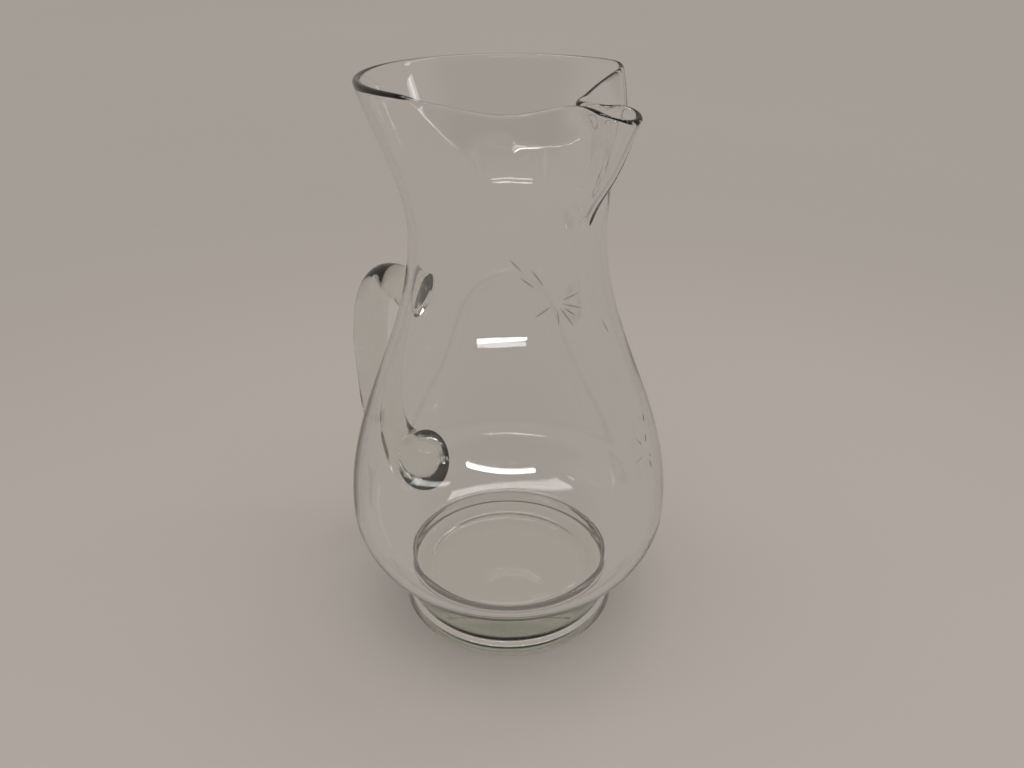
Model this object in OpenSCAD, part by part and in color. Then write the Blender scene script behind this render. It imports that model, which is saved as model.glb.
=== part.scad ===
// Cocktail pitcher of clear hand-blown glass, in millimetres.
// Three gathers of glass make it: a blown bowl with a flared mouth and a pinched
// ice lip, a thick foot fused under the bowl, and a drawn handle fused behind it.
// The origin is the centre of the base, +Z is up and the lip points along +X.

/* [Bowl] */
// Height of the round rim above the table
rim_z = 240; // [230:1:255]
// Outer radius of the round rim
rim_r = 56.4; // [54:0.2:62]
// Outward lean of the wall at the rim, as radius gained per height
rim_lean = 0.24; // [0.12:0.01:0.36]
// Height of the narrowest part of the neck
neck_z = 183; // [176:1:188]
// Outer radius of the narrowest part of the neck
neck_r = 39.6; // [38:0.2:42]
// Height of the widest part of the belly
belly_z = 57; // [52:0.5:62]
// Outer radius of the widest part of the belly
belly_r = 71; // [66:0.5:76]
// Thickness of the blown wall
wall = 3.2; // [2.4:0.1:4]

/* [Ice lip] */
// Angle from the middle of the lip to each ear, where the rim leaves its circle
ear_angle = 78; // [72:1:84]
// Angle from the middle of the lip to the direction that each pinched wall faces
pinch_turn = 18; // [15:0.5:24]
// Height above the narrowest neck at which the pinched walls begin
pinch_rise = 14; // [10:0.5:17]
// Outer radius of the lip's loop at rim height
lip_r = 10.8; // [9.6:0.2:12]
// Distance from the axis to the middle of the loop at rim height
lip_x = 54; // [52:0.2:57]
// Outer radius of the rounded lower end of the pouring channel
channel_r = 6.6; // [6:0.2:8]
// Height above the narrowest neck of the middle of that rounded end
channel_rise = 20.5; // [18:0.5:24]
// How far that middle lies beyond the narrowest neck's outer radius
channel_out = 3.6; // [2.5:0.1:4.5]
// Clear width of the pinched throat that holds back the ice
throat_w = 4; // [3:0.5:6]
// How far the throat dips below the round rim
throat_drop = 5.5; // [4:0.5:7]
// How far the tip of the lip dips below the round rim
lip_drop = 8.5; // [7:0.5:11]

/* [Foot] */
// Height of the foot under the flat of the bowl
foot_h = 20; // [16:0.5:23]
// Radius of the foot at its widest
foot_r = 50; // [46:0.5:55]
// Radius where the foot meets the bowl
waist_r = 45.5; // [42:0.5:48]
// Radius of the rounded edge at the base
foot_edge = 4; // [2:0.5:6]

/* [Handle] */
// Radius of the rod at the grip
rod_r = 8.3; // [7:0.1:9.5]
// Gap between the belly and the rod
grip_gap = 8; // [6:0.5:12]
// Radius of the round pad on the belly
pad_r = 16.4; // [14:0.2:18]
// How far the pad's middle lies below the widest part of the belly
pad_drop = 16.5; // [14:0.5:18]
// Half width of the upper seal on the neck
seal_w = 8.6; // [7:0.2:10]
// Half height of the upper seal on the neck
seal_h = 13; // [11:0.5:15]
// How far the middle of the upper seal lies below the narrowest neck
seal_drop = 39.5; // [36:0.5:44]
// How far the arch of the handle rises above the middle of the upper seal
arch_rise = 3.5; // [1:0.5:6]
// Angle round the axis from the lip to the pad
pad_angle = 179.5; // [170:0.5:190]
// Angle round the axis by which the seal is turned past the pad
handle_skew = 17; // [10:1:20]

/* [Hidden] */
$fn = 96;

glass_tint = [0.80, 0.86, 0.82, 0.45];
foot_tint = [0.62, 0.76, 0.68, 0.6];
// Steps along the curves of the bowl's outline and along the handle
curve_steps = 18;
edge_steps = 6;
span_steps = 4;
rod_sides = 24;
// Larger than the pitcher, for the blocks that trim it
reach = 300;
// How far the handle's ends and the cavity's top run past the surface that trims them
overrun = 2;

under_r = belly_z - foot_h;
flat_r = belly_r - under_r;
round_r = wall / 2;

// Outer radius of the bowl at a height from the belly up to the rim
function flare(t, end) = (3 - end) * t * t + (end - 2) * t * t * t;
function shoulder_r(z) =
    neck_r + (belly_r - neck_r) * (1 + cos(180 * (z - belly_z) / (neck_z - belly_z))) / 2;
function mouth_r(z) =
    neck_r + (rim_r - neck_r)
    * flare((z - neck_z) / (rim_z - neck_z), rim_lean * (rim_z - neck_z) / (rim_r - neck_r));
function under_r_at(z) = flat_r + sqrt(under_r * under_r - (belly_z - z) * (belly_z - z));
function outer_r(z) = z < belly_z ? under_r_at(z) : z < neck_z ? shoulder_r(z) : mouth_r(z);

// Points of the outline, moved inwards by inset, from the floor up to below the rim's rounding
function under_curve(inset) =
    [for (i = [0 : curve_steps]) let (a = -90 + 90 * i / curve_steps)
        [flat_r + (under_r - inset) * cos(a), belly_z + (under_r - inset) * sin(a)]];
function side_curve(inset, low, high) =
    [for (i = [1 : curve_steps]) let (z = low + (high - low) * i / curve_steps)
        [outer_r(z) - inset, z]];
function wall_curve(inset) = concat(
    under_curve(inset),
    side_curve(inset, belly_z, neck_z),
    side_curve(inset, neck_z, rim_z - round_r));

// A quarter of the rounded rim, on its outer side (turn 1) or its inner side (turn -1)
rim_mid_r = outer_r(rim_z - round_r) - round_r;
function rim_curve(turn) =
    [for (i = [1 : edge_steps]) let (a = 90 * i / edge_steps)
        [rim_mid_r + turn * round_r * cos(a), rim_z - round_r + round_r * sin(a)]];

// Solid bounded by the outside of the round bowl
module round_outside() {
    rotate_extrude()
        polygon(concat([[0, foot_h]], wall_curve(0), rim_curve(1), [[0, rim_z]]));
}

// Space inside the round bowl, open at the top
module round_inside() {
    rotate_extrude()
        polygon(concat(
            [[0, foot_h + wall]], wall_curve(wall), rim_curve(-1),
            [[rim_mid_r, rim_z + overrun], [0, rim_z + overrun]]));
}

// The pinched walls lean in from the neck, so that each meets the rim's circle at an ear
pinch_z = neck_z + pinch_rise;
pinch_low_r = mouth_r(pinch_z);
pinch_top_r = rim_r * cos(ear_angle - pinch_turn);
pinch_lean = atan((pinch_low_r - pinch_top_r) / (rim_z - pinch_z));

// Blocks that take away what lies beyond the two pinched walls
module beyond_pinch(inset) {
    for (side = [-1, 1])
        rotate([0, 0, side * pinch_turn])
            translate([pinch_low_r - inset, 0, pinch_z])
                rotate([0, -pinch_lean, 0])
                    translate([0, -reach / 2, 0])
                        cube(reach);
}

// Channel of the lip: a leaning cone on a rounded end
channel_x = neck_r + channel_out;
channel_z = neck_z + channel_rise;
channel_h = rim_z - channel_z;
channel_lean = atan((lip_x - channel_x) / channel_h);
channel_l = channel_h / cos(channel_lean);

module channel(inset) {
    translate([channel_x, 0, channel_z])
        rotate([0, channel_lean, 0]) {
            sphere(r = channel_r - inset);
            cylinder(h = channel_l + overrun, r1 = channel_r - inset, r2 = lip_r - inset);
        }
}

// Passage that joins the mouth to the lip's loop, up to the middle of the channel
throat_x = pinch_top_r / cos(pinch_turn);

module throat(inset) {
    back_x = pinch_top_r - 2 * wall + inset;
    rotate([90, 0, 0])
        linear_extrude(throat_w + 2 * (wall - inset), center = true)
            polygon([
                [back_x, channel_z], [channel_x, channel_z],
                [lip_x, rim_z], [lip_x, rim_z + overrun], [back_x, rim_z + overrun]]);
}

// Block above the mouth that slopes down from the ears to the throat and on to the tip
ear_x = rim_r * cos(ear_angle);
tip_x = lip_x + lip_r;

module above_lip() {
    rotate([90, 0, 0])
        linear_extrude(reach, center = true)
            polygon([
                [ear_x, rim_z], [throat_x, rim_z - throat_drop], [tip_x, rim_z - lip_drop],
                [reach, rim_z - lip_drop], [reach, reach], [ear_x, reach]]);
}

module mouth_outside() {
    difference() {
        union() {
            difference() {
                round_outside();
                beyond_pinch(0);
            }
            channel(0);
            throat(0);
        }
        above_lip();
    }
}

module mouth_inside() {
    difference() {
        round_inside();
        beyond_pinch(wall);
    }
    channel(wall);
    throat(wall);
}

// Blown bowl: belly, neck, flared mouth and ice lip in one wall of glass
module bowl() {
    color(glass_tint)
        difference() {
            mouth_outside();
            mouth_inside();
        }
}

// Outline of the foot: a rounded base edge and a side that draws in to the waist
waist_z = belly_z - sqrt(under_r * under_r - (waist_r - flat_r) * (waist_r - flat_r));
function base_edge() =
    [for (i = [0 : edge_steps]) let (a = -90 + 90 * i / edge_steps)
        [foot_r - foot_edge + foot_edge * cos(a), foot_edge + foot_edge * sin(a)]];
function foot_side() =
    [for (i = [1 : edge_steps]) let (t = i / edge_steps)
        [foot_r - (foot_r - waist_r) * (1 - cos(90 * t)), foot_edge + (waist_z - foot_edge) * t]];

// Thick foot, shaped to the underside of the bowl
module foot() {
    color(foot_tint)
        difference() {
            rotate_extrude()
                polygon(concat([[0, 0]], base_edge(), foot_side(), [[0, waist_z]]));
            round_outside();
        }
}

// Route of the handle: distance from the axis, height, share of the skew,
// half width, half thickness and the angle that the ring faces
pad_z = belly_z - pad_drop;
pad_seat = outer_r(pad_z);
pad_tilt = asin(pad_drop / under_r);
pad_bed = under_r - sqrt(under_r * under_r - pad_r * pad_r) + overrun;
seal_z = neck_z - seal_drop;
seal_seat = outer_r(seal_z);
grip_x = belly_r + grip_gap + rod_r;
arch_z = seal_z + arch_rise;
route = [
    [pad_seat - pad_bed * cos(pad_tilt), pad_z + pad_bed * sin(pad_tilt), 0, pad_r, pad_r, -pad_tilt],
    [pad_seat + cos(pad_tilt), pad_z - sin(pad_tilt), 0, pad_r, pad_r, -pad_tilt],
    [pad_seat + 6.6, pad_z - 1.6, 0.02, pad_r - 1.2, pad_r - 1, -14],
    [grip_x - 8, pad_z + 0.4, 0.08, rod_r + 4.9, rod_r + 5.7, 4],
    [grip_x - 3.9, pad_z + 5.8, 0.17, rod_r + 2.7, rod_r + 4.1, 22],
    [grip_x - 1.6, pad_z + 15, 0.28, rod_r + 1.4, rod_r + 1.8, 45],
    [grip_x - 0.3, pad_z + 29, 0.38, rod_r + 0.6, rod_r + 0.4, 68],
    [grip_x, pad_z + 50, 0.43, rod_r, rod_r, 88],
    [grip_x, pad_z + 66, 0.45, rod_r, rod_r, 96],
    [grip_x - 5, arch_z - 18.5, 0.5, rod_r, rod_r - 0.4, 114],
    [grip_x - 16, arch_z - 4.5, 0.64, rod_r, rod_r - 0.6, 146],
    [seal_seat + 13, arch_z, 0.84, rod_r, rod_r - 0.6, 176],
    [seal_seat + 4, seal_z + 2, 1, seal_w - 0.6, seal_h - 4, 190],
    [seal_seat - overrun - wall, seal_z, 1, seal_w, seal_h, 193],
];
spans = len(route) - 1;

// Smooth curve through the route, with a value for every span step
function blend(a, b, c, d, t) =
    b + (c - a) * t / 2
    + (2 * a - 5 * b + 4 * c - d) * t * t / 2
    + (3 * b - a - 3 * c + d) * t * t * t / 2;
function station(i) = route[min(max(i, 0), spans)];
stations = [
    for (i = [0 : spans - 1], k = [0 : span_steps - 1])
        blend(station(i - 1), station(i), station(i + 1), station(i + 2), k / span_steps),
    route[spans],
];
last = len(stations) - 1;

// One ring of the rod, square to its facing in an upright plane through the axis
function ring(i) = let (
        s = stations[i],
        a = pad_angle + handle_skew * s[2])
    [for (k = [0 : rod_sides - 1]) let (
            b = 360 * k / rod_sides,
            out = s[0] + s[4] * sin(b) * sin(s[5]),
            up = s[1] - s[4] * sin(b) * cos(s[5]),
            side = s[3] * cos(b))
        [out * cos(a) - side * sin(a), out * sin(a) + side * cos(a), up]];

rod_points = [for (i = [0 : last]) each ring(i)];
rod_faces = concat(
    [for (i = [0 : last - 1], k = [0 : rod_sides - 1]) let (
            a = i * rod_sides + k,
            b = i * rod_sides + (k + 1) % rod_sides)
        each [[a, a + rod_sides, b], [b, a + rod_sides, b + rod_sides]]],
    [[for (k = [0 : rod_sides - 1]) k]],
    [[for (k = [rod_sides - 1 : -1 : 0]) last * rod_sides + k]]);

// Drawn handle: a round pad on the belly, a thick rod and a pressed seal on the neck
module handle() {
    color(glass_tint)
        difference() {
            polyhedron(points = rod_points, faces = rod_faces, convexity = 6);
            round_outside();
        }
}

bowl();
foot();
handle();
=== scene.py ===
# %% [markdown]
# # A cocktail pitcher of blown glass
# The pitcher is three gathers of clear glass: a blown bowl with a pinched ice lip, a thick
# foot and a drawn handle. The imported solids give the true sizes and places, so they are
# loaded first and their box is kept. Each solid is then replaced by a finer closed glass
# mesh in the same place, because glass shows every facet of what it is made of.

# %% Load the solids
import math

import bpy
import numpy as np
from mathutils import Matrix


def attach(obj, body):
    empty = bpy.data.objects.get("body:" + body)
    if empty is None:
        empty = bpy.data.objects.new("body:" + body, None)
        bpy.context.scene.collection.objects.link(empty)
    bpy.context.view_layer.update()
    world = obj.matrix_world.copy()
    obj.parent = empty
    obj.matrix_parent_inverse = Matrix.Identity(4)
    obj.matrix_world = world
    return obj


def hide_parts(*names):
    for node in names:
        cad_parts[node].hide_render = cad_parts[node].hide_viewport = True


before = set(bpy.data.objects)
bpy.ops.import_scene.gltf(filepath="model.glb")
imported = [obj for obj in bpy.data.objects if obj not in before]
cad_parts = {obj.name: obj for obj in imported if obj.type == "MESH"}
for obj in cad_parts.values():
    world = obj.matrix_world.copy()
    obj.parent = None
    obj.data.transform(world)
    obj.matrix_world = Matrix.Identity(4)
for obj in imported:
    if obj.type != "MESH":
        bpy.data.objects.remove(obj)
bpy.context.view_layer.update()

MM = 0.001
scene = bpy.context.scene
scene.view_settings.view_transform = "Standard"
print("solids:", sorted(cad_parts))

# %% [markdown]
# ## Camera
# The view is from the near side of the lip, a little above the rim. Its height, distance,
# tilt and lens were found by fitting the rim's and the foot's ellipses and the outline of the
# bowl. A camera placed by numbers is chosen over one that tracks an empty, because the numbers
# can be read and compared.

# %% Place the camera
VIEW_TURN = 46
VIEW_TILT = 28.18
VIEW_FROM = 331
VIEW_HIGH = 288.5
VIEW_ROLL = -0.25
FOCAL_PIXELS = 861.9
IMAGE_WIDE = 1024
AXIS_PIXEL = 508

lens = bpy.data.cameras.new("photo_view")
lens.sensor_width = 36
lens.lens = FOCAL_PIXELS * lens.sensor_width / IMAGE_WIDE
lens.shift_x = (IMAGE_WIDE / 2 - AXIS_PIXEL) / IMAGE_WIDE
lens.clip_start = 0.01
camera = bpy.data.objects.new("photo_view", lens)
scene.collection.objects.link(camera)
turn = math.radians(VIEW_TURN)
camera.matrix_world = (
    Matrix.Translation((VIEW_FROM * MM * math.sin(turn), -VIEW_FROM * MM * math.cos(turn), VIEW_HIGH * MM))
    @ Matrix.Rotation(turn, 4, "Z")
    @ Matrix.Rotation(math.radians(90 - VIEW_TILT), 4, "X")
    @ Matrix.Rotation(math.radians(VIEW_ROLL), 4, "Z"))
scene.camera = camera
print("camera at", [round(v, 3) for v in camera.matrix_world.translation], "lens", round(lens.lens, 1))

# %% [markdown]
# ## Writing shaders as sums
# A material is a small calculation: noise, distances and masks are added and multiplied until
# they say how rough or how tinted each point is. Nodes can be wired one by one, but that hides
# the sum. A wrapper round an output socket with Python's own operators keeps it readable.

# %% One class for sockets
class Wire:
    """An output socket that can be used in Python expressions."""

    def __init__(self, tree, socket=None):
        self.tree = tree
        self.socket = socket

    def node(self, kind, settings=None, sockets=None, out=0):
        made = self.tree.nodes.new(kind)
        for name, value in (settings or {}).items():
            setattr(made, name, value)
        for name, value in (sockets or {}).items():
            if isinstance(value, Wire):
                self.tree.links.new(value.socket, made.inputs[name])
            else:
                made.inputs[name].default_value = value
        return Wire(self.tree, made.outputs[out] if len(made.outputs) else None)

    def sum(self, operation, first, second):
        return self.node("ShaderNodeMath", {"operation": operation}, {0: first, 1: second})

    def __add__(self, other):
        return self.sum("ADD", self, other)

    def __sub__(self, other):
        return self.sum("SUBTRACT", self, other)

    def __rsub__(self, other):
        return self.sum("SUBTRACT", other, self)

    def __mul__(self, other):
        return self.sum("MULTIPLY", self, other)

    __radd__ = __add__
    __rmul__ = __mul__

    def step(self, low, high):
        """0 below low, 1 above high and a smooth rise between them."""
        return self.node("ShaderNodeMapRange", {"interpolation_type": "SMOOTHSTEP"},
                         {"Value": self, "From Min": low, "From Max": high})


def new_material(name):
    material = bpy.data.materials.new(name)
    material.use_nodes = True
    material.node_tree.nodes.clear()
    return material, Wire(material.node_tree)


print("operators ready")

# %% [markdown]
# ## Floor, backdrop and light
# The pitcher stands on a plain pale surface of a warm grey. Clear glass has almost no look of
# its own: it shows the surroundings bent, so the surroundings are kept plain. The floor and
# the sky near the horizon share one tone, and the sky darkens upwards, sooner on the camera's
# side, which draws the thin dark lines along the rim and the edges of the wall. Near the foot
# the floor is half lit and half plain, which keeps the shadow soft. One large soft lamp overhead
# lights the floor. The glass doesn't see it, because a clear wall would show it as a broad pale
# patch. A low strip behind the camera and two weak tubes, behind and to the right, give the glints.

# %% Floor
FLOOR_TONE, SKY_TOP = (0.385, 0.346, 0.313, 1), (0.06, 0.056, 0.052, 1)
PLAIN_NEAR, PLAIN_THROUGH = 0.5, 0.85
floor_mesh = bpy.data.meshes.new("floor")
HALF, UNDER_FOOT = 6, 0.0004
floor_mesh.from_pydata(
    [(-HALF, -HALF, 0), (HALF, -HALF, 0), (HALF, HALF, 0), (-HALF, HALF, 0)], [], [(0, 1, 2, 3)])
floor = bpy.data.objects.new("floor", floor_mesh)
floor.location.z = -UNDER_FOOT
scene.collection.objects.link(floor)
floor_paint, w = new_material("floor_paint")
speckle = w.node("ShaderNodeTexNoise", None, {"Scale": 9.0, "Detail": 4.0})
tone = w.node("ShaderNodeMix", {"data_type": "RGBA"},
              {"Factor": speckle, 6: FLOOR_TONE, 7: tuple(v * 0.95 for v in FLOOR_TONE[:3]) + (1,)}, 2)
lit = w.node("ShaderNodeBsdfPrincipled", None, {"Base Color": tone, "Roughness": 0.7})
plain = w.node("ShaderNodeEmission", None, {"Color": tone})
spot = w.node("ShaderNodeTexCoord", None, None, "Object")
away = w.node("ShaderNodeVectorMath", {"operation": "LENGTH"}, {0: spot}, "Value").step(0.2, 0.8)
seen = w.node("ShaderNodeLightPath", None, None, "Is Camera Ray")
mirrored = w.node("ShaderNodeLightPath", None, None, "Is Glossy Ray")
through = w.node("ShaderNodeLightPath", None, None, "Is Transmission Ray")
shows_plain = seen * (away * (1 - PLAIN_NEAR) + PLAIN_NEAR) + mirrored + through * PLAIN_THROUGH
paint = w.node("ShaderNodeMixShader", None, {0: shows_plain, 1: lit, 2: plain})
w.node("ShaderNodeOutputMaterial", None, {"Surface": paint})
floor_mesh.materials.append(floor_paint)
print("floor", 2 * HALF, "m wide")

# %% Sky and lamps
world = bpy.data.worlds.new("studio")
scene.world = world
world.use_nodes = True
world.node_tree.nodes.clear()
w = Wire(world.node_tree)
direction = w.node("ShaderNodeTexCoord", None, None, "Generated")
height = w.node("ShaderNodeSeparateXYZ", None, {0: direction}, "Z")
behind = w.node("ShaderNodeVectorMath", {"operation": "DOT_PRODUCT"},
                {0: direction, 1: (-math.sin(turn), math.cos(turn), 0)}, "Value")
wide = behind.step(-0.65, -0.15)
pale = (1 - height.step(0.05, 0.4)) * (1 - wide) + (1 - height.step(0.6, 0.95)) * wide
sky = w.node("ShaderNodeMix", {"data_type": "RGBA"},
             {"Factor": pale, 6: SKY_TOP, 7: FLOOR_TONE}, 2)
w.node("ShaderNodeOutputWorld", None, {"Surface": w.node("ShaderNodeBackground", None, {"Color": sky})})


def facing_from(place, aim):
    """A turn that points a lamp placed there at its aim."""
    z = np.subtract(place, aim)
    z = z / np.linalg.norm(z)
    x = np.cross((0, 0, 1), z)
    x = x / np.linalg.norm(x)
    y = np.cross(z, x)
    return Matrix([(x[k], y[k], z[k]) for k in range(3)]).to_4x4()


def softbox(name, place, aim, size, power):
    lamp = bpy.data.lights.new(name, "AREA")
    lamp.shape = "RECTANGLE"
    lamp.size, lamp.size_y = size
    lamp.energy = power
    made = bpy.data.objects.new(name, lamp)
    made.visible_camera = False
    scene.collection.objects.link(made)
    made.matrix_world = Matrix.Translation(place) @ facing_from(place, aim)
    return made


def from_camera_side(right, back, up):
    """A point given as seen from the camera: to the right, towards the camera and up, in metres."""
    return (right * math.cos(turn) + back * math.sin(turn),
            right * math.sin(turn) - back * math.cos(turn), up)


overhead = softbox("overhead", from_camera_side(0.1, 0.3, 1.6),
                   aim=(0, 0, 0), size=(2.6, 2.0), power=36)
overhead.visible_glossy = False
overhead.visible_transmission = False
strip = softbox("low_strip", from_camera_side(-0.15, 1.5, 0.27),
                aim=(0, 0, 0.12), size=(1.4, 0.022), power=2.2)
back_tube = softbox("back_tube", from_camera_side(-0.1, -0.25, 1.2),
                    aim=(0, 0, 0), size=(1.1, 0.3), power=4)
side_tube = softbox("side_tube", from_camera_side(1.0, -0.1, 1.0),
                    aim=(0, 0, 0.1), size=(0.14, 0.9), power=1.5)
print("lamps:", [lamp.name for lamp in (overhead, strip, back_tube, side_tube)])

# %% [markdown]
# ## The bowl's outline
# A blown bowl is round below the mouth, so one curve turned about the axis describes it: a
# flat where the foot is fused, a full round belly, a long shoulder and a narrow neck. The
# curve could be drawn by hand as a Bezier, but formulas with the solids' own sizes keep the
# looks and the solids in step.

# %% Outline formulas
RIM_Z, RIM_R, RIM_LEAN = 240, 56.4, 0.24
NECK_Z, NECK_R = 183, 39.6
BELLY_Z, BELLY_R = 57, 70.99
FOOT_H = 20
UNDER_R = BELLY_Z - FOOT_H
FLAT_R = BELLY_R - UNDER_R


def mix(a, b, t):
    return a + (b - a) * t


def ease(low, high, x):
    t = np.clip((x - low) / (high - low), 0, 1)
    return t * t * (3 - 2 * t)


def shoulder_radius(z):
    return mix(NECK_R, BELLY_R, (1 + np.cos(np.pi * (z - BELLY_Z) / (NECK_Z - BELLY_Z))) / 2)


def mouth_radius(z):
    t = (z - NECK_Z) / (RIM_Z - NECK_Z)
    end = RIM_LEAN * (RIM_Z - NECK_Z) / (RIM_R - NECK_R)
    return mix(NECK_R, RIM_R, (3 - end) * t ** 2 + (end - 2) * t ** 3)


def under_radius(z):
    return FLAT_R + np.sqrt(np.clip(UNDER_R ** 2 - (BELLY_Z - z) ** 2, 0, None))


def outer_radius(z):
    return np.where(z < BELLY_Z, under_radius(z), np.where(z < NECK_Z, shoulder_radius(z), mouth_radius(z)))


print("radius at belly, neck, rim:", [round(float(outer_radius(z)), 1) for z in (BELLY_Z, NECK_Z, RIM_Z)])

# %% [markdown]
# ## The ice lip
# While the rim is soft, the maker pinches its front: two flat walls lean in from the ears
# until they almost touch, and the glass in front of them is drawn into a round pouring
# channel. Ice can't pass the narrow throat. Seen from above, the rim is a keyhole. The pinch
# is shallow low down and deepens towards the rim, where the tool held the glass.
# A sculpted or remeshed union of shapes would leave ripples in the glass, so each height gets
# its own keyhole section by formula, and the sections join into one smooth skin.

# %% Keyhole sections
EAR, LOOP_END, THROAT_END = 78, 12, 16
PINCH_TURN, PINCH_POWER = 18, 1.5
PINCH_Z = NECK_Z + 14
PINCH_LOW_R = float(mouth_radius(PINCH_Z))
PINCH_TOP_R = RIM_R * math.cos(math.radians(EAR - PINCH_TURN))
CHANNEL_Z, CHANNEL_X, CHANNEL_R = NECK_Z + 20.5, NECK_R + 3.6, 6.6
LIP_X, LIP_R = 54, 10.8
THROAT_HALF = 5.0


def cosd(a):
    return np.cos(np.radians(a))


def sind(a):
    return np.sin(np.radians(a))


def lower_of(a, b, soft=0.6):
    """The lower of two radii, with a soft change from one to the other."""
    low = np.minimum(a, b)
    return low - soft * np.log(np.exp((low - a) / soft) + np.exp((low - b) / soft))


def pinched_radius(angle, z, wall_at):
    facing = cosd(angle - PINCH_TURN)
    flat = np.where(facing > 0.05, wall_at / np.maximum(facing, 0.05), 999.0)
    return lower_of(mouth_radius(z), flat)


def keyhole(turned, z):
    """Points of the mouth's outside for angles from the lip, in degrees, at heights z."""
    a = np.abs(turned)
    lean = (z - PINCH_Z) / (RIM_Z - PINCH_Z)
    wall_at = mix(PINCH_LOW_R, PINCH_TOP_R, np.where(lean > 0, np.maximum(lean, 0) ** PINCH_POWER, lean))
    up = np.maximum((z - CHANNEL_Z) / (RIM_Z - CHANNEL_Z), 0)
    middle = mix(CHANNEL_X, LIP_X, up)
    loop_r = mix(CHANNEL_R, LIP_R, up)
    meets = PINCH_TURN + np.degrees(np.arccos(np.clip((wall_at - middle * cosd(PINCH_TURN)) / loop_r, -1, 1)))
    closes = 180 - np.degrees(np.arcsin(np.minimum(THROAT_HALF / loop_r, 1)))
    end = np.minimum(meets, closes)
    end_x, end_y = middle + loop_r * cosd(end), loop_r * sind(end)
    corner_x = (wall_at - end_y * sind(PINCH_TURN)) / cosd(PINCH_TURN)
    corner = np.degrees(np.arctan2(end_y, corner_x))
    on_loop = end * np.clip(a / LOOP_END, 0, 1)
    on_throat = np.clip((a - LOOP_END) / (THROAT_END - LOOP_END), 0, 1)
    on_wall = mix(corner, EAR, np.clip((a - THROAT_END) / (EAR - THROAT_END), 0, 1))
    wall_r = pinched_radius(on_wall, z, wall_at)
    x = np.where(a <= LOOP_END, middle + loop_r * cosd(on_loop),
                 np.where(a <= THROAT_END, mix(end_x, corner_x, on_throat), wall_r * cosd(on_wall)))
    y = np.where(a <= LOOP_END, loop_r * sind(on_loop),
                 np.where(a <= THROAT_END, end_y, wall_r * sind(on_wall)))
    plain = pinched_radius(a, z, wall_at)
    shown = np.where(a > EAR, 0, ease(PINCH_Z - 5, CHANNEL_Z + 6, z))
    x = mix(plain * cosd(a), x, shown)
    y = mix(plain * sind(a), y, shown)
    return np.stack([x, np.sign(turned) * y, z], -1)


tip = keyhole(np.array([0.0]), np.array([RIM_Z - 9.0]))[0]
print("tip of the lip at", tip.round(1))

# %% [markdown]
# ## The bowl's skin
# The skin is a grid: columns run round the pitcher and rows run from the middle of the base
# up the outside, over the fire-polished rim and down the inside to the floor. Columns crowd
# at the lip, where the curves are tight. The inside is the outside moved in along its own
# normals, so the wall has a steady, hand-made thickness. Where the pinch stretched the rim,
# the wall thins. Below the rim the folds are evened out sideways, most on the near side, and
# the channel's lower end upwards, because a hard crease in glass shows as a black line.

# %% Columns, rim heights and rows
def spread(low, high, count):
    return np.linspace(low, high, count, endpoint=False)


half_columns = np.concatenate([
    spread(0, LOOP_END, 26), spread(LOOP_END, THROAT_END, 6),
    spread(THROAT_END, EAR, 34), spread(EAR, 180, 50)])
columns = np.concatenate([half_columns, [180.0], -half_columns[:0:-1]])


def smoothed(values, passes):
    """Evens out a closed row of points a little."""
    for _ in range(passes):
        values = (np.roll(values, 1, 0) + 2 * values + np.roll(values, -1, 0)) / 4
    return values


TIP_DROP, THROAT_DROP = 8.5, 5.5
SAG_NEAR, NEAR_RISE = 5.0, 1.6
RIM_INSET = 0.4
from_throat = np.clip((np.abs(columns) - THROAT_END) / (EAR - THROAT_END), 0, 1)
drop = THROAT_DROP * (1 - from_throat)
drop += np.where(columns < 0, SAG_NEAR, 0) * np.sin(np.pi * from_throat)
drop += (TIP_DROP - THROAT_DROP) * (1 + cosd(180 * np.clip(np.abs(columns) / LOOP_END, 0, 1))) / 2
drop -= np.where(columns < 0, NEAR_RISE, 0) * np.exp(-((columns + 9) / 6) ** 2)
rim_height = smoothed(RIM_Z - RIM_INSET - drop, 10)

WALL_LOW, WALL_RIM = 3.2, 2.7
flat_rows = np.stack([np.array([9.0, 18, 26, 31, FLAT_R]), np.full(5, FOOT_H)], -1)
under_turn = np.linspace(-86, 0, 30)
under_rows = np.stack([FLAT_R + UNDER_R * cosd(under_turn), BELLY_Z + UNDER_R * sind(under_turn)], -1)
side_z = np.linspace(BELLY_Z, NECK_Z, 61)[1:]
side_rows = np.stack([shoulder_radius(side_z), side_z], -1)
round_rows = np.concatenate([flat_rows, under_rows, side_rows])
rise = np.linspace(0, 1, 37)[1:]
print(len(columns), "columns,", len(round_rows) + len(rise), "rows outside")

# %% Outside surface
EVEN_PASSES, NEAR_PASSES, FAR_PASSES = 6, (500, 60), (260, 6)
FLOW_PASSES = 30
around = np.stack([cosd(columns), sind(columns)], -1)
round_z = np.broadcast_to(round_rows[:, None, 1:], (len(round_rows), len(columns), 1))
round_part = np.concatenate([round_rows[:, None, :1] * around[None], round_z], -1)
mouth_z = NECK_Z + (rim_height - WALL_RIM / 2 - NECK_Z)[None] * rise[:, None]
mouth_part = keyhole(np.broadcast_to(columns, mouth_z.shape), mouth_z)
near_fold = ease(-64, -34, columns) * (1 - ease(-9, -4, columns))
far_fold = (1 - ease(34, 64, columns)) * ease(4, 9, columns)
firm = np.sqrt(ease(0.8, 1, rise))
near_passes = np.round(mix(*NEAR_PASSES, firm)).astype(int)
far_passes = np.round(mix(*FAR_PASSES, firm)).astype(int)
begun = ease(0.08, 0.4, rise)
mouth_part = np.stack([
    mix(mix(smoothed(row, EVEN_PASSES), smoothed(row, far), far_fold[:, None] * part),
        smoothed(row, near), near_fold[:, None] * part)
    for row, near, far, part in zip(mouth_part, near_passes, far_passes, begun)])
flowing = (1 - ease(0.5, 0.8, rise[1:-1]))[:, None, None]
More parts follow.
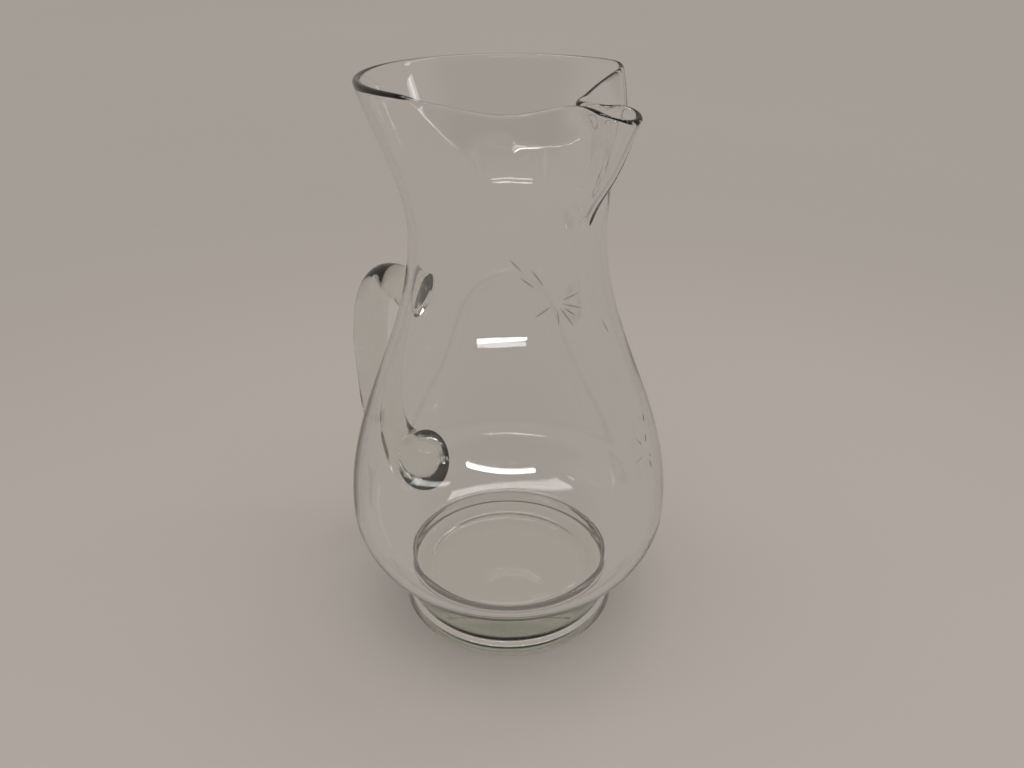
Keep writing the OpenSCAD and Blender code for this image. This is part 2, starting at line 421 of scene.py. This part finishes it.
for _ in range(FLOW_PASSES):
    mouth_part[1:-1] += flowing * ((mouth_part[:-2] + mouth_part[2:]) / 2 - mouth_part[1:-1]) / 2
outside = np.concatenate([round_part, mouth_part])
print("outside from", outside.min((0, 1)).round(1), "to", outside.max((0, 1)).round(1))


# %% Wall and inside surface
def normals_of(grid):
    across = np.roll(grid, -1, 1) - np.roll(grid, 1, 1)
    along = np.gradient(grid, axis=0)
    n = np.cross(across, along)
    return n / np.linalg.norm(n, axis=-1, keepdims=True)


THIN_FAR, THIN_NEAR = 1.2, 0.6
outward = normals_of(outside)
level = np.linspace(0, 1, len(outside))[:, None]
angle = np.radians(columns)[None]
hand_made = (0.10 * np.sin(2 * angle + 5 * level) + 0.08 * np.sin(3 * angle - 9 * level + 1)
             + 0.05 * np.sin(14 * level + 2 * np.cos(angle)))
wall = mix(WALL_LOW, WALL_RIM, level ** 2) + hand_made * np.sin(np.pi * level)
thin_far = THIN_FAR * ease(14, 30, columns) * (1 - ease(55, 95, columns))
thin_near = THIN_NEAR * ease(-30, -10, columns) * (1 - ease(-5, 5, columns))
wall -= (thin_far + thin_near)[None] * ease(0.74, 1, level)
inside = outside - wall[..., None] * outward
print("wall from", round(float(wall.min()), 2), "to", round(float(wall.max()), 2), "mm")

# %% [markdown]
# ## Cut sprays
# The only ornament is a few sprays of short strokes, cut with a thin stone wheel: petals that
# fan out from a point and leaves along an unseen stem. Each stroke is a shallow V, widest in
# its middle, with a matt, unpolished floor that is also painted grey as painted shade in the groove.
# A texture alone would leave the wall smooth in the mesh, so the grid is made finer where a stroke
# runs and the points are moved in.

# %% Strokes
UPPER_SPRAY = ((8, 2.6, 11), (-22, 2.6, 12.9), (-40, 4, 10.9), (-57, 2.6, 12.8), (-86, 2.6, 9.2),
               (-152, 2.6, 9.8), (125, 8, 16.5), (142, 10.5, 17.5), (135, 18.5, 25))
LOWER_SPRAY = ((121, 4, 10.8), (64, 4, 7.6), (179, 3, 10.7), (-50, 2, 5.5), (-79, 3, 9.3), (61, 12.4, 16))
LONE_LEAF = ((112, -4, 4),)
SPRAYS = ((-18.3, 165, 0.28, UPPER_SPRAY), (18.4, 95, 0.14, LOWER_SPRAY), (14, 149.5, 0.16, LONE_LEAF))
CUT_HALF = 0.46


def stroke_ends(spray):
    """Start and end of each stroke, from its direction and its nearest and farthest reach."""
    toward = [np.array([cosd(a), sind(a)]) for a, _, _ in spray]
    return [(near * way, far * way) for way, (_, near, far) in zip(toward, spray)]


def cut_depth(turned, z):
    """Depth of the cuts at angles and heights on the shoulder, in millimetres."""
    depth = np.zeros(np.broadcast(turned, z).shape)
    for at, high, deepest, spray in SPRAYS:
        slope = (shoulder_radius(high + 0.5) - shoulder_radius(high - 0.5))
        off = (turned - at + 180) % 360 - 180
        here = np.stack(np.broadcast_arrays(
            np.radians(off) * shoulder_radius(high), (z - high) * math.hypot(1, slope)), -1)
        for start, stop in stroke_ends(spray):
            run = stop - start
            t = np.clip((here - start) @ run / (run @ run), 0, 1)
            away = np.linalg.norm(here - start - t[..., None] * run, axis=-1)
            half = CUT_HALF * np.sqrt(np.clip(4 * t * (1 - t), 0.02, 1))
            depth = np.maximum(depth, deepest * half / CUT_HALF * np.clip(1 - away / half, 0, 1))
    return depth


print(sum(len(spray) for *_, spray in SPRAYS), "strokes")

# %% [markdown]
# ## From grid to mesh
# The whole grid could be made fine enough for the cuts, but that would be half a million
# faces. Only the cells that a stroke crosses are divided; their neighbours take the extra
# points into their own edges, so the skin stays closed.

# %% Build the bowl
FINE = 6
BEAD_STEPS = 8


def rim_bead(out_row, in_row, out_normal, upward):
    """Half a round over the rim, from the outside to the inside."""
    middle = (out_row + in_row) / 2
    r = np.linalg.norm(out_row - in_row, axis=-1, keepdims=True) / 2
    up = upward - (upward * out_normal).sum(-1, keepdims=True) * out_normal
    up /= np.linalg.norm(up, axis=-1, keepdims=True)
    turns = np.pi * np.arange(1, BEAD_STEPS) / BEAD_STEPS
    return np.stack([middle + r * (math.cos(a) * out_normal + math.sin(a) * up) for a in turns])


bead = rim_bead(outside[-1], inside[-1], outward[-1], outside[-1] - outside[-2])
skin = np.concatenate([outside, bead, inside[::-1]])
rows, cols = skin.shape[:2]
first_side = len(flat_rows) + len(under_rows) - 1
last_side = len(round_rows) - 1


def on_shoulder(turned, z):
    """A point of the cut shoulder and its depth there."""
    r = shoulder_radius(z)
    slope = shoulder_radius(z + 0.05) - shoulder_radius(z - 0.05)
    deep = cut_depth(turned, z)
    lean = np.hypot(0.1, slope)
    r = r - deep * 0.1 / lean
    moved = np.broadcast_arrays(r * cosd(turned), r * sind(turned), z + deep * slope / lean)
    return np.stack(moved, -1), deep


side_band = slice(first_side, last_side + 1)
band_z = np.broadcast_to(outside[side_band, :1, 2], (last_side - first_side + 1, cols))
skin[side_band], band_depth = on_shoulder(np.broadcast_to(columns, band_z.shape), band_z)
cut = np.zeros((rows, cols))
cut[side_band] = band_depth
points = [tuple(p) for p in skin.reshape(-1, 3)]
cuts = list(cut.reshape(-1))
print(rows, "by", cols, "grid")

# %% Divide the cells that a stroke crosses
next_turn = np.append(columns[1:], columns[0] + 360)
next_turn[next_turn < columns] += 360
share = np.arange(FINE) / FINE
fine_turn = mix(columns[:, None], next_turn[:, None], share).reshape(-1)
low_z, high_z = band_z[:-1, :1], band_z[1:, :1]
fine_z = np.append(mix(low_z, high_z, share).reshape(-1), high_z[-1])
fine_points, fine_depth = on_shoulder(fine_turn[None], fine_z[:, None])
fine_cells = set()
for fi, fj in zip(*np.nonzero(fine_depth)):
    for di in (-1, 1):
        for dj in (-1, 1):
            fine_cells.add((first_side + int(fi + di) // FINE, int(fj + dj) // FINE % cols))
extra = {}


def point_at(fi, fj):
    """Index of a point on the fine lattice; points between the grid's own are added when first asked for."""
    fj %= cols * FINE
    if fi % FINE == 0 and fj % FINE == 0:
        return fi // FINE * cols + fj // FINE
    if (fi, fj) not in extra:
        extra[fi, fj] = len(points)
        here = fi - first_side * FINE, fj
        points.append(tuple(fine_points[here]))
        cuts.append(float(fine_depth[here]))
    return extra[fi, fj]


def cell_faces(i, j):
    a, b = i * FINE, j * FINE
    if (i, j) in fine_cells:
        return [[point_at(u, v), point_at(u, v + 1), point_at(u + 1, v + 1), point_at(u + 1, v)]
                for u in range(a, a + FINE) for v in range(b, b + FINE)]
    below, above = (i - 1, j) in fine_cells, (i + 1, j) in fine_cells
    left, right = (i, (j - 1) % cols) in fine_cells, (i, (j + 1) % cols) in fine_cells
    ring = [point_at(a, b + v) for v in (range(FINE) if below else [0])]
    ring += [point_at(a + u, b + FINE) for u in (range(FINE) if right else [0])]
    ring += [point_at(a + FINE, b + FINE - v) for v in (range(FINE) if above else [0])]
    ring += [point_at(a + FINE - u, b) for u in (range(FINE) if left else [0])]
    return [ring]


faces = [face for i in range(rows - 1) for j in range(cols) for face in cell_faces(i, j)]
bottom, well = len(points), len(points) + 1
points += [(0, 0, FOOT_H), (0, 0, float(inside[0, 0, 2]))]
cuts += [0, 0]
faces += [[bottom, (j + 1) % cols, j] for j in range(cols)]
top = (rows - 1) * cols
faces += [[well, top + j, top + (j + 1) % cols] for j in range(cols)]
print(len(fine_cells), "cells divided,", len(points), "points,", len(faces), "faces")

# %% Make the bowl's object
CREASE = math.radians(50)
# Cut depth at which a cut floor is fully matt and fully painted with its grey painted shade.
FULLY_MATT_AND_SHADED = 0.18


def glass_piece(name, points, faces):
    """A smooth closed mesh from points in millimetres."""
    mesh = bpy.data.meshes.new(name)
    mesh.from_pydata([[c * MM for c in p] for p in points], [], faces)
    mesh.validate()
    mesh.shade_smooth()
    mesh.set_sharp_from_angle(angle=CREASE)
    made = bpy.data.objects.new(name, mesh)
    scene.collection.objects.link(made)
    return made


bowl = glass_piece("blown_bowl", points, faces)
# The cut mark sets both the real matt roughness of the cut floors and their painted grey shade.
marks = bowl.data.attributes.new("cut", "FLOAT", "POINT")
marks.data.foreach_set("value", [min(c / FULLY_MATT_AND_SHADED, 1) for c in cuts])
print(bowl.name, len(bowl.data.polygons), "faces")

# %% [markdown]
# ## The foot
# The foot is a solid cushion of glass, pressed on while hot and then flattened. It is turned
# from one outline like the bowl, but its top follows the bowl's underside and reaches a hair
# into it. Two glass skins with air between them would shine like a mirror where real glass is
# fused; overlapping them by a tenth of a millimetre lets light pass. A small fillet rounds the
# corner at the waist, and the base is a little hollow, so it stands on a ring.

# %% Build the foot
FOOT_R, WAIST_R, FOOT_EDGE = 50, 45.5, 2.2
SEAT = 0.1
HOLLOW_R, HOLLOW_DEEP, STAND_R = 40.5, 1.4, 43
FILLET_R, FILLET_END = 2.2, 109
FOOT_SIDES = 144
base_line = [(r, HOLLOW_DEEP) for r in (12, 24, 34)]
base_line += [(HOLLOW_R - 3 * (1 - t), HOLLOW_DEEP * (1 + cosd(180 * t)) / 2) for t in np.linspace(0, 1, 7)]
base_line += [(STAND_R, 0)]
edge_line = [(FOOT_R - FOOT_EDGE + FOOT_EDGE * cosd(a), FOOT_EDGE + FOOT_EDGE * sind(a))
             for a in np.linspace(-90, 0, 9)]


def underside(r):
    """Height of the bowl's underside at a radius."""
    return BELLY_Z - np.sqrt(UNDER_R ** 2 - np.maximum(r - FLAT_R, 0) ** 2)


fillet_r = WAIST_R + FILLET_R * (1 + cosd(FILLET_END))
fillet_z = float(underside(fillet_r)) - FILLET_R * sind(FILLET_END)
side_line = [(FOOT_R - (FOOT_R - WAIST_R) * (1 - cosd(90 * t)), mix(FOOT_EDGE, fillet_z, t))
             for t in np.linspace(0, 1, 13)[1:]]
fillet_line = [(WAIST_R + FILLET_R * (1 + cosd(a)), fillet_z + FILLET_R * sind(a))
               for a in np.linspace(180, FILLET_END, 9)[1:]]
seat_r = np.array([fillet_r - 0.3, 45.5, 44, 42, 40, 38, 36, FLAT_R, 26, 13])
foot_line = base_line + edge_line + side_line + fillet_line + list(zip(seat_r, underside(seat_r) + SEAT))
print(len(foot_line), "points in the foot's outline")


# %% Turn the foot
def turned_piece(name, line):
    """A closed piece from an outline that starts and ends on the axis."""
    steps = [360 * k / FOOT_SIDES for k in range(FOOT_SIDES)]
    points = [(r * cosd(a), r * sind(a), z) for r, z in line for a in steps]
    n = FOOT_SIDES
    faces = [[i * n + k, i * n + (k + 1) % n, (i + 1) * n + (k + 1) % n, (i + 1) * n + k]
             for i in range(len(line) - 1) for k in range(n)]
    low, high = len(points), len(points) + 1
    points += [(0, 0, line[0][1]), (0, 0, line[-1][1])]
    last = (len(line) - 1) * n
    faces += [[low, (k + 1) % n, k] for k in range(n)]
    faces += [[high, last + k, last + (k + 1) % n] for k in range(n)]
    return glass_piece(name, points, faces)


foot = turned_piece("thick_foot", foot_line)
print(foot.name, len(foot.data.polygons), "faces")

# %% [markdown]
# ## The handle
# A soft rod is dropped on the belly, where it spreads into a round pad, drawn up and over in
# an arch, and pressed against the shoulder. Its route is a list of stations with a width and
# a thickness; a curve object with a bevel can't change its section like that, so rings are
# swept along a smooth path. Both ends run on into the bowl, and a core of the bowl's own
# shape trims them, so each is seated on the wall all round.

# %% Stations of the route
ROD_R, GRIP_GAP, GRIP_INSET = 8.3, 8, 0.05
PAD_R, PAD_DROP, PAD_ANGLE = 16.4, 16.5, 179.5
SEAL_W, SEAL_H, SEAL_Z = 8.6, 13, NECK_Z - 39.5
ARCH_Z, SKEW = SEAL_Z + 3.5, 17
PAD_Z = BELLY_Z - PAD_DROP
GRIP_X = BELLY_R + GRIP_GAP + ROD_R - GRIP_INSET
pad_x, seal_x = float(outer_radius(PAD_Z)), float(outer_radius(SEAL_Z))
pad_tilt = math.degrees(math.asin(PAD_DROP / UNDER_R))
pad_bed = UNDER_R - math.sqrt(UNDER_R ** 2 - PAD_R ** 2) + 2
route = np.array([
    (pad_x - pad_bed * cosd(pad_tilt), PAD_Z + pad_bed * sind(pad_tilt), 0, PAD_R, PAD_R, -pad_tilt),
    (pad_x + cosd(pad_tilt), PAD_Z - sind(pad_tilt), 0, PAD_R, PAD_R, -pad_tilt),
    (pad_x + 6.6, PAD_Z - 1.6, 0.02, PAD_R - 1.2, PAD_R - 1, -14),
    (GRIP_X - 8, PAD_Z + 0.4, 0.08, ROD_R + 4.9, ROD_R + 5.7, 4),
    (GRIP_X - 3.9, PAD_Z + 5.8, 0.17, ROD_R + 2.7, ROD_R + 4.1, 22),
    (GRIP_X - 1.6, PAD_Z + 15, 0.28, ROD_R + 1.4, ROD_R + 1.8, 45),
    (GRIP_X - 0.3, PAD_Z + 29, 0.38, ROD_R + 0.6, ROD_R + 0.4, 68),
    (GRIP_X, PAD_Z + 50, 0.43, ROD_R, ROD_R, 88),
    (GRIP_X, PAD_Z + 66, 0.45, ROD_R, ROD_R, 96),
    (GRIP_X - 5, ARCH_Z - 18.5, 0.5, ROD_R, ROD_R - 0.4, 114),
    (GRIP_X - 16, ARCH_Z - 4.5, 0.64, ROD_R, ROD_R - 0.6, 146),
    (seal_x + 13, ARCH_Z, 0.84, ROD_R, ROD_R - 0.6, 176),
    (seal_x + 4, SEAL_Z + 2, 1, SEAL_W - 0.6, SEAL_H - 4, 190),
    (seal_x - 5.2, SEAL_Z, 1, SEAL_W, SEAL_H, 193)])
print(len(route), "stations")

# %% Sweep the rod
SPAN_STEPS, ROD_SIDES, PATH_PASSES = 12, 48, 10


def along(stations, steps):
    """A smooth path through the stations, as rows of the same values."""
    padded = np.concatenate([stations[:1], stations, stations[-1:]])
    path = []
    for a, b, c, d in zip(padded, padded[1:], padded[2:], padded[3:]):
        for t in np.arange(steps) / steps:
            path.append(b + (c - a) * t / 2 + (2 * a - 5 * b + 4 * c - d) * t ** 2 / 2
                        + (3 * b - a - 3 * c + d) * t ** 3 / 2)
    return np.array(path + [stations[-1]])


path = along(route, SPAN_STEPS)
for _ in range(PATH_PASSES):
    path[1:-1] = (path[:-2] + 2 * path[1:-1] + path[2:]) / 4
b = 360 * np.arange(ROD_SIDES)[None] / ROD_SIDES
out = path[:, :1] + path[:, 4:5] * sind(b) * sind(path[:, 5:])
high = path[:, 1:2] - path[:, 4:5] * sind(b) * cosd(path[:, 5:])
side = path[:, 3:4] * cosd(b)
at = PAD_ANGLE + SKEW * path[:, 2:3]
rings = np.stack([out * cosd(at) - side * sind(at), out * sind(at) + side * cosd(at), high], -1)
n, count = ROD_SIDES, len(rings)
rod_faces = [[(i + 1) * n + k, (i + 1) * n + (k + 1) % n, i * n + (k + 1) % n, i * n + k]
             for i in range(count - 1) for k in range(n)]
rod_faces += [list(range(n)), list(range(count * n - 1, (count - 1) * n - 1, -1))]
handle = glass_piece("drawn_handle", rings.reshape(-1, 3).tolist(), rod_faces)
print(handle.name, len(handle.data.polygons), "faces before trimming")

# %% Trim the rod's ends to the bowl
core_z = np.concatenate([np.linspace(FOOT_H + 0.5, BELLY_Z, 40), np.linspace(BELLY_Z, NECK_Z, 64)[1:]])
core = turned_piece("bowl_core", [(float(outer_radius(z)) - SEAT, z) for z in core_z])
trim = handle.modifiers.new("trim", "BOOLEAN")
trim.operation, trim.solver, trim.object = "DIFFERENCE", "EXACT", core
trimmed = bpy.data.meshes.new_from_object(handle.evaluated_get(bpy.context.evaluated_depsgraph_get()))
handle.modifiers.clear()
handle.data = trimmed
trimmed.shade_smooth()
trimmed.set_sharp_from_angle(angle=CREASE)
bpy.data.objects.remove(core)
print(handle.name, len(handle.data.polygons), "faces")

# %% [markdown]
# ## The glass
# It is plain soda glass: clear in the thin wall and faintly green where light passes a long
# way through the foot and the handle. One Principled shader with full transmission bends and
# mirrors light, and a plain absorption in the volume makes the tint grow with thickness, which
# a painted colour can't do. The surface isn't perfect: slow ripples from blowing, a matt floor
# in the cuts, painted grey there as painted shade in the grooves, and fine wear near the base.

# %% Glass material
GLASS_IOR = 1.5
ABSORB_COLOUR = (0.58, 0.66, 0.48, 1)
BOWL_TINT, FOOT_TINT, HANDLE_TINT = 7, 6, 7.5
# The second colour is a painted shade: a grey painted into the floors of the cuts.
CLEAR, CUT_SHADE = (1, 1, 1, 1), (0.34, 0.32, 0.3, 1)
WEAR_ROUGH, CUT_ROUGH = 0.22, 0.38


def glass(name, ripple, wear_top, tint_density, marks=False):
    """Clear glass. Ripple is the size of the waves and wear_top the height where wear ends, in metres."""
    material, w = new_material(name)
    place = w.node("ShaderNodeTexCoord", None, None, "Object")
    up = w.node("ShaderNodeSeparateXYZ", None, {0: place}, "Z")
    fine = w.node("ShaderNodeTexNoise", None, {"Vector": place, "Scale": 900.0, "Detail": 3.0})
    wear = fine.step(0.52, 0.68) * (1 - up.step(wear_top * 0.4, wear_top))
    rough = wear * WEAR_ROUGH
    colour = CLEAR
    if marks:
        cut_floor = w.node("ShaderNodeAttribute", {"attribute_name": "cut"}, None, "Fac")
        rough = rough + cut_floor * CUT_ROUGH
        # Painted shade: the cut floors are painted grey, darker where the cut is deeper, on top of their matt
        # roughness.
        colour = w.node("ShaderNodeMix", {"data_type": "RGBA"}, {"Factor": cut_floor, 6: CLEAR, 7: CUT_SHADE}, 2)
    slow = w.node("ShaderNodeTexNoise", None, {"Vector": place, "Scale": 1 / ripple, "Detail": 1.0})
    relief = w.node("ShaderNodeBump", None, {"Strength": 0.06, "Distance": 0.002, "Height": slow}, "Normal")
    body = w.node("ShaderNodeBsdfPrincipled", None, {
        "Base Color": colour, "Roughness": rough, "IOR": GLASS_IOR, "Transmission Weight": 1.0,
        "Normal": relief})
    tint = w.node("ShaderNodeVolumeAbsorption", None, {"Color": ABSORB_COLOUR, "Density": tint_density})
    w.node("ShaderNodeOutputMaterial", None, {"Surface": body, "Volume": tint})
    return material


bowl.data.materials.append(glass("bowl_glass", 0.045, 0.03, BOWL_TINT, marks=True))
foot.data.materials.append(glass("foot_glass", 0.03, 0.006, FOOT_TINT))
handle.data.materials.append(glass("handle_glass", 0.02, 0.03, HANDLE_TINT))
print("materials:", [o.data.materials[0].name for o in (bowl, foot, handle)])

# %% [markdown]
# ## Standing in for the solids
# Nothing on a pitcher moves, so every piece rides on the one root body. Each mesh replaces
# its own solid.

# %% Ride and replace
stand_ins = ((bowl, "bowl", "clear_glass"), (foot, "foot", "thick_glass"), (handle, "handle", "thick_glass"))
for piece, node, finish in stand_ins:
    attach(piece, "root")
    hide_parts(node)
